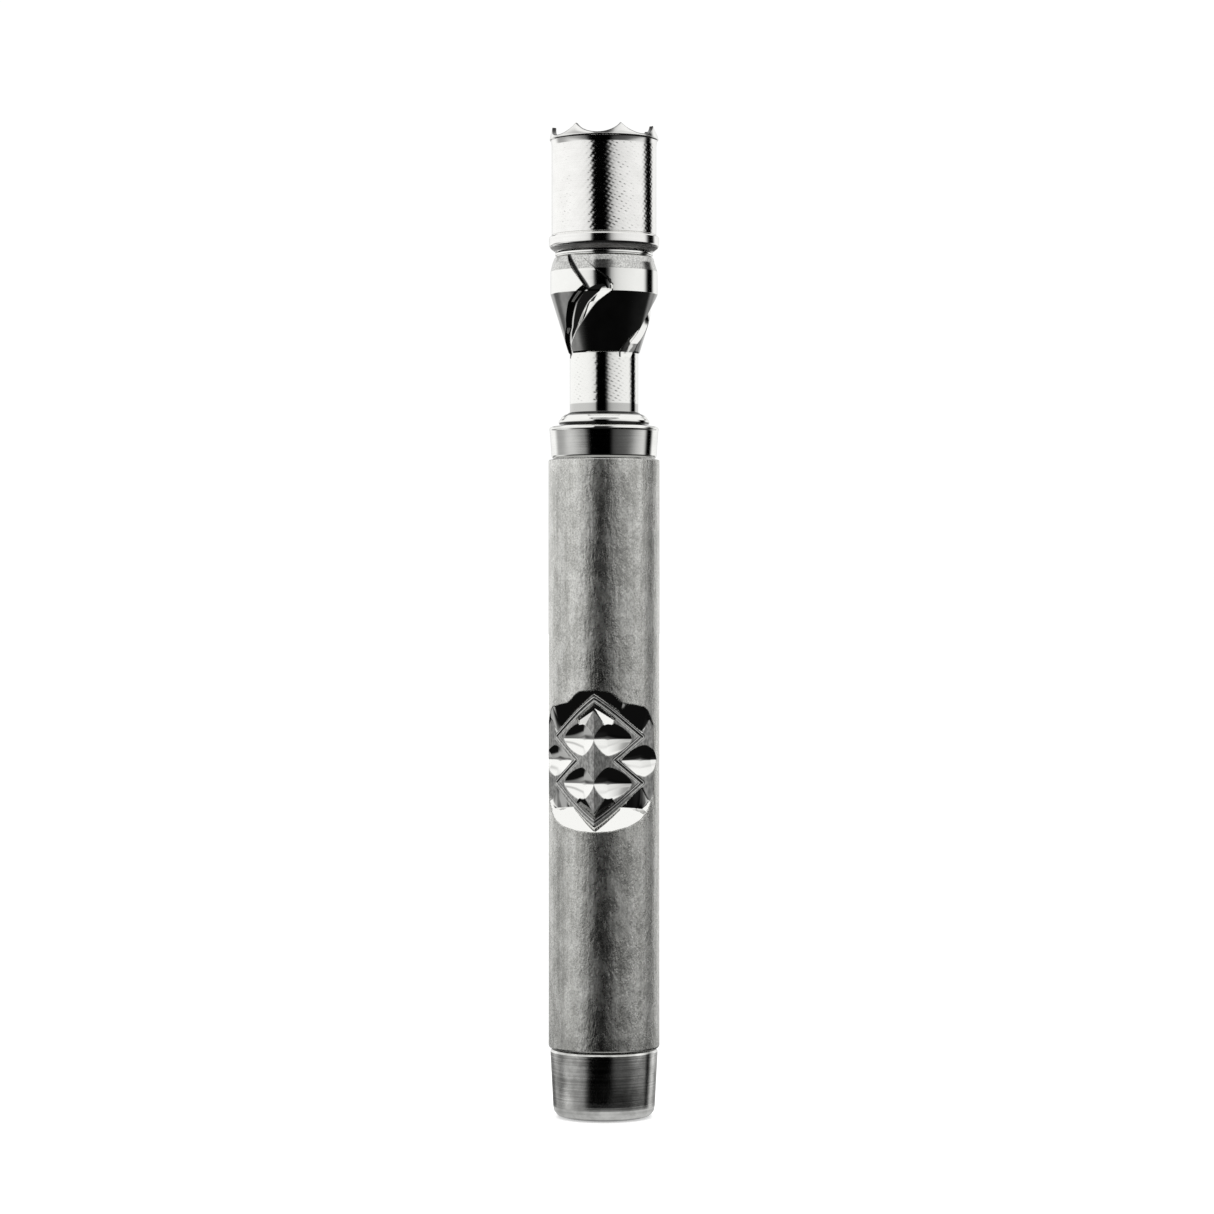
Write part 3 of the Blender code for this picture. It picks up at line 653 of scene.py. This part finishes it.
def cap_shell():
    b = 79.00
    outer = rounded([(4.30, b, 0.03), (4.46, b, 0.05), (4.52, b + 0.10, 0.06), (4.90, 79.40, 0.10), (5.0, 79.56, 0.05), (BEAD_R, 79.66, 0.06), (BEAD_R, 80.36, 0.08),
                     (4.90, 80.46, 0.02), (4.72, 80.48, 0.02), (4.72, 80.58, 0.02), (CAP_R, 80.60, 0.03), (CAP_R, 88.74, 0.03), (4.80, 88.82, 0.08), (4.855, 89.20, 0.06),
                     (4.96, 89.28, 0.04), (LIP_R, 89.34, 0.04), (4.975, 89.40, 0.1), (2.0, 89.45, 0.0)], 9.0)[:-1]
    outer = fill(outer, [(80.55, 88.78, 0.055, 4.7)])
    outer = [p for p in outer if p[0] > 4.2]
    angles = round_angles(7 * 80, FRONT + math.radians(FIRST))
    n = len(angles)
    cz = crown_z(angles)
    high = (cz - VALLEY_Z) / (PEAK_Z - VALLEY_Z)
    rings = []
    for r, z in outer:
        rr = np.full(n, r)
        if abs(r - CAP_R) < 0.012 and 80.66 < z < 88.72:
            fade = smooth((z - 80.66) / 0.10) * smooth((88.72 - z) / 0.12)
            rr = rr + fade * knurl(angles, np.full(n, z), CAP_R, 0.34, 22.0, 0.0080)
        zz = np.full(n, z)
        if z > 89.34:
            zz = np.minimum(zz, cz - 0.10)
        rings.append((rr, zz))
    last_r, last_z = rings[-1]
    edge_r = PEAK_R + 0.17 * (1.0 - high)
    for t in (0.2, 0.4, 0.6, 0.8, 0.93):
        rings.append((last_r + (edge_r - last_r) * t ** 1.2, last_z + (cz - 0.03 - last_z) * t))
    rings += [(edge_r - 0.02, cz - 0.012), (edge_r - 0.05, cz), (edge_r - 0.34, cz - 0.03), (edge_r - 0.38, cz - 0.06)]
    for t in (0.25, 0.5, 0.75):
        rings.append((edge_r - 0.38 + (4.32 - edge_r + 0.38) * t, cz - 0.06 + (89.25 - cz + 0.06) * t))
    rings += [(np.full(n, 4.32), 89.20), (4.30, 88.74), (4.27, 88.72), (3.82, 88.72), (3.80, 88.70), (3.80, 88.44), (3.82, 88.42), (4.28, 88.42), (4.30, 88.40)]
    rings += [(4.30, 84.0), (4.30, 79.06)]
    cap_painted_shade, brushed = [], []
    for r, z in rings:
        rr, zz = np.broadcast_to(np.asarray(r, float), (n,)), np.broadcast_to(np.asarray(z, float), (n,))
        # painted shade: darkens the crown's rim and a thin line over the bead
        top = (zz > 88.8) * smooth((zz - cz + 0.075) / 0.03) * (rr > 4.2)
        brushed.append(smooth((79.52 - zz) / 0.05) * smooth((zz - 79.06) / 0.04) * (rr > 4.45))
        cap_painted_shade.append(np.maximum(top, smooth((0.035 - np.abs(zz - 80.53)) / 0.02) * (rr > 4.6)))
    return skin("cap_cup", rings, angles, CAP_STEEL, sharp=42.0, attributes={"painted_shade": np.concatenate(cap_painted_shade), "brushed": np.concatenate(brushed)})


place(cap_shell(), "cap", "cap_shell")


# =====================================================================================
# the pieces inside
# =====================================================================================
def plain(node, body, rows, mat, slot, n=96, step=10.0, sharp=38.0):
    return place(skin(node + "_piece", rounded(rows, step), round_angles(n), mat, sharp), body, node)


plain("body_liner", "body", [(3.35, 6.65, 0.05), (3.47, 6.50, 0.03), (3.70, 6.50, 0.05), (3.70, 62.95, 0.05), (3.47, 62.95, 0.03), (3.35, 62.80, 0.05)], TURNED, "turned_steel", 128)
plain("condenser_tube", "mouthpiece", [(1.45, 1.60, 0.04), (1.95, 1.60, 0.06), (1.95, 64.66, 0.03), (1.69, 64.66, 0.04), (1.69, 65.34, 0.04), (1.95, 65.34, 0.03),
                                      (1.95, 66.7, 0.05), (1.70, 67.0, 0.05), (1.45, 67.0, 0.05)], TURNED, "turned_steel", 96)


def o_ring(node, body, major, minor, z):
    rings = []
    for k in range(20):
        t = 2 * math.pi * k / 20
        rings.append((major + minor * math.cos(t), z + minor * math.sin(t)))
    return place(skin(node + "_ring", rings, round_angles(96), SEAL, 80.0), body, node)


o_ring("condenser_tip_o_ring", "mouthpiece", 1.95 - 0.26 + 0.03 + 0.165, 0.16, 65.0)
o_ring("mouthpiece_o_ring_upper", "mouthpiece_seals", 2.55 + 0.03 + 0.36, 0.355, 10.7)
o_ring("mouthpiece_o_ring_lower", "mouthpiece_seals", 2.55 + 0.03 + 0.36, 0.355, 8.3)
o_ring("tip_o_ring_upper", "tip_seals", 2.55 + 0.03 + 0.36, 0.355, 60.9)
o_ring("tip_o_ring_lower", "tip_seals", 2.55 + 0.03 + 0.36, 0.355, 57.3)


def disc(node, body, mat, radius, z_of, thick, n=128, sharp=38.0):
    """A thin pressed disc: z_of(r) is the height of its underside."""
    radii = np.linspace(0.0, radius, 26)
    rings = [(r, z_of(r)) for r in radii[:-1]]
    edge = [(radius - 0.02, z_of(radius)), (radius, z_of(radius) + 0.02), (radius, z_of(radius) + thick - 0.02), (radius - 0.02, z_of(radius) + thick)]
    rings += edge
    rings += [(r, z_of(r) + thick) for r in radii[:-1][::-1]]
    return place(skin(node + "_disc", rings, round_angles(n), mat, sharp), body, node)


disc("cap_cover_disc", "cap", TURNED, 4.20, lambda r: 88.78 + 0.07 * float(smooth(np.array((3.4 - r) / 0.5))), 0.24)
disc("snap_disc_outer", "cap", BIMETAL, 4.12, lambda r: 88.05 + 0.22 * (1 - (r / 4.12) ** 2), 0.20)
disc("snap_disc_inner", "cap", BIMETAL, 4.12, lambda r: 87.65 + 0.22 * (1 - (r / 4.12) ** 2), 0.20)


def clip():
    angles = round_angles(180)
    n = len(angles)
    rows = rounded([(3.98, 84.0, 0.03), (4.20, 84.0, 0.03), (4.20, 87.3, 0.03), (3.98, 87.3, 0.03)], 20.0)
    rows += [(3.98, z) for z in np.arange(87.1, 84.15, -0.1)]
    rings = []
    for r, z in rows:
        rr = np.full(n, r)
        if r < 3.99 and 84.3 < z < 86.9:
            d = (np.degrees(angles) % 60.0) / 60.0
            rr = rr - 0.28 * smooth((0.30 - np.abs(d - 0.5)) / 0.10) * math.sin(math.pi * (z - 84.3) / 2.6)
        rings.append((rr, z))
    return skin("clip_ring", rings, angles, SPRING, 50.0)


place(clip(), "clip", "retention_clip")


def screen():
    """Diffuser disc: punched from a fine grid so its holes are real."""
    import bmesh
    bm = bmesh.new()
    z0, z1 = 79.08, 79.40
    bmesh.ops.create_cone(bm, cap_ends=True, segments=96, radius1=2.88 * MM, radius2=2.80 * MM, depth=(z1 - z0) * MM)
    bmesh.ops.translate(bm, verts=bm.verts, vec=(0, 0, 0.5 * (z0 + z1) * MM))
    mesh = bpy.data.meshes.new("screen_disc")
    bm.to_mesh(mesh)
    bm.free()
    obj = bpy.data.objects.new("screen_disc", mesh)
    bpy.context.scene.collection.objects.link(obj)
    bm = bmesh.new()
    for ring_r, count in ((0.0, 1), (0.85, 6), (1.65, 12), (2.35, 18)):
        for k in range(count):
            t = 2 * math.pi * k / count + ring_r
            made = bmesh.ops.create_cone(bm, cap_ends=True, segments=16, radius1=0.17 * MM, radius2=0.17 * MM, depth=1.2 * MM)
            bmesh.ops.translate(bm, verts=made["verts"], vec=(ring_r * math.cos(t) * MM, ring_r * math.sin(t) * MM, 79.24 * MM))
    holes = bpy.data.meshes.new("screen_holes")
    bm.to_mesh(holes)
    bm.free()
    cutter = bpy.data.objects.new("screen_holes", holes)
    bpy.context.scene.collection.objects.link(cutter)
    m = obj.modifiers.new("holes", "BOOLEAN")
    m.operation, m.object, m.solver = "DIFFERENCE", cutter, "EXACT"
    graph = bpy.context.evaluated_depsgraph_get()
    done = bpy.data.meshes.new_from_object(obj.evaluated_get(graph))
    obj.modifiers.clear()
    obj.data = done
    bpy.data.objects.remove(cutter)
    done.materials.clear()
    done.materials.append(TURNED)
    done.shade_smooth()
    done.set_sharp_from_angle(angle=math.radians(35))
    return obj


place(screen(), "tip", "bowl_screen")


# =====================================================================================
# floor, studio light, camera
# =====================================================================================
def floor():
    """White paper. Polished steel sees only the paper it stands on; past it the tent's own foot shows."""
    import bmesh
    bm = bmesh.new()
    bmesh.ops.create_circle(bm, cap_ends=True, segments=96, radius=6.0)
    mesh = bpy.data.meshes.new("floor")
    bm.to_mesh(mesh)
    bm.free()
    obj = bpy.data.objects.new("floor", mesh)
    bpy.context.scene.collection.objects.link(obj)
    obj.location = (0, 0, -0.00002)
    mat = bpy.data.materials.new("floor_paper")
    mat.use_nodes = True
    g = Graph(mat.node_tree)
    for n in list(mat.node_tree.nodes):
        mat.node_tree.nodes.remove(n)
    out = g.node("ShaderNodeOutputMaterial")
    pale = g.node("ShaderNodeBsdfDiffuse")
    pale.inputs[0].default_value = (0.9, 0.9, 0.9, 1)
    lift = g.node("ShaderNodeEmission")
    lift.inputs[0].default_value = (1, 1, 1, 1)
    lift.inputs[1].default_value = 0.50
    add = g.node("ShaderNodeAddShader")
    g.link(pale.outputs[0], add.inputs[0])
    g.link(lift.outputs[0], add.inputs[1])
    through = g.node("ShaderNodeBsdfTransparent")
    near = g.node("ShaderNodeEmission")
    near.inputs[0].default_value = (1, 1, 1, 1)
    near.inputs[1].default_value = 0.55
    span = g.node("ShaderNodeVectorMath", operation="LENGTH")
    g.link(g.node("ShaderNodeTexCoord").outputs["Object"], span.inputs[0])
    far = g.range(span.outputs["Value"], 0.0072, 0.0098)
    seen = g.node("ShaderNodeMixShader")
    g.link(far, seen.inputs[0])
    g.link(near.outputs[0], seen.inputs[1])
    g.link(through.outputs[0], seen.inputs[2])
    mix = g.node("ShaderNodeMixShader")
    g.link(g.node("ShaderNodeLightPath").outputs["Is Camera Ray"], mix.inputs[0])
    g.link(seen.outputs[0], mix.inputs[1])
    g.link(add.outputs[0], mix.inputs[2])
    g.link(mix.outputs[0], out.inputs[0])
    mesh.materials.append(mat)


floor()


# The light tent, as a few soft panels and two upright black flags: (azimuth from the front, brightness).
# The front flag spans -24 to 6 degrees and the side flag 107 to 122; panels are grey where they are far off.
TENT = [(-180, .40), (-140, 1.05), (-60, 1.00), (-30, .75), (-21, .0), (2, .0), (16, .45), (40, .85), (90, .97), (110, .0), (122, .0), (140, 1.0), (180, .60)]
EDGE = [(-180, .40), (-137, 1.05), (-112, .40), (-60, .95), (-38, .70), (-28, .0), (9, .0), (24, .12), (50, .30), (90, .80), (109, .0), (117, .0), (135, 1.05), (180, .60)]
SKIRT = [(-180, .30), (-150, .12), (-130, .36), (-108, .18), (-85, .42), (-46, .21), (-27, .0), (10, .0), (24, .06), (50, .10), (96, .22), (110, .01), (130, .70), (150, .30), (180, .60)]
DEEP = [(-180, .20), (-150, .85), (-95, .85), (-70, .40), (-50, .28), (-30, .0), (90, .03), (180, .10)]
LID = [(-180, 1.02), (-60, 1.02), (-27, .98), (-21, .05), (3, .05), (25, .75), (45, 1.0), (180, 1.02)]
ROOF = [(-180, .08), (-150, .10), (-130, .90), (-60, .55), (-28, .45), (-20, .04), (3, .04), (15, .60), (90, .85), (110, .06), (120, .06), (130, .70), (150, .30), (180, .08)]


def studio():
    """Soft light tent, bright above the horizon and dark below it, with two upright black flags."""
    world = bpy.data.worlds.new("studio")
    bpy.context.scene.world = world
    world.use_nodes = True
    tree = world.node_tree
    for n in list(tree.nodes):
        tree.nodes.remove(n)
    g = Graph(tree)
    out = g.node("ShaderNodeOutputWorld")
    back = g.node("ShaderNodeBackground")
    coords = g.node("ShaderNodeTexCoord").outputs["Generated"]
    xyz = g.node("ShaderNodeSeparateXYZ")
    g.link(coords, xyz.inputs[0])
    az = g.math("MULTIPLY", g.math("ARCTAN2", xyz.outputs[0], g.math("MULTIPLY", xyz.outputs[1], -1.0)), 180.0 / math.pi)
    el = g.math("MULTIPLY", g.math("ARCSINE", xyz.outputs[2]), 180.0 / math.pi)
    turn = g.math("MULTIPLY", g.math("ADD", az, 180.0), 1.0 / 360.0)

    def level(table):
        n = g.node("ShaderNodeFloatCurve")
        curve = n.mapping.curves[0]
        pts = [((a + 180.0) / 360.0, v / 1.25) for a, v in table]
        curve.points[0].location, curve.points[1].location = pts[0], pts[-1]
        for p in pts[1:-1]:
            curve.points.new(*p)
        for p in curve.points:
            p.handle_type = "AUTO_CLAMPED"
        n.mapping.update()
        g.link(turn, n.inputs["Value"])
        return g.math("MULTIPLY", n.outputs[0], 1.25)

    def blend(f, a, b):
        return g.math("ADD", g.math("MULTIPLY", a, g.math("SUBTRACT", 1.0, f)), g.math("MULTIPLY", b, f))

    v = level(DEEP)
    v = blend(g.range(el, -27.0, -20.0), 0.01, v)
    v = blend(g.range(el, -14.5, -10.5), v, level(SKIRT))
    v = blend(g.range(el, -8.5, -4.5), v, level(EDGE))
    v = blend(g.range(el, -0.5, 2.8), v, level(TENT))
    v = blend(g.range(el, 16.0, 22.0), v, level(ROOF))
    v = blend(g.range(el, 22.0, 28.0), v, level(LID))
    v = blend(g.range(el, 44.0, 52.0), v, 1.02)
    path = g.node("ShaderNodeLightPath").outputs["Is Camera Ray"]
    shown = blend(path, v, 1.02)
    g.link(shown, back.inputs["Strength"])
    back.inputs["Color"].default_value = (1.0, 1.0, 0.995, 1.0)
    g.link(back.outputs[0], out.inputs[0])


studio()


def camera():
    data = bpy.data.cameras.new("camera")
    cam = bpy.data.objects.new("camera", data)
    bpy.context.scene.collection.objects.link(cam)
    data.sensor_width = 36.0
    data.lens = 36.0 * 3650.0 / 1214.0
    data.clip_start, data.clip_end = 0.01, 50.0
    cam.location = (0.00027, -0.334, 0.0466)
    cam.rotation_euler = (math.pi / 2, 0.0, 0.0)
    bpy.context.scene.camera = cam
    bpy.context.scene.view_settings.view_transform = "Standard"


camera()
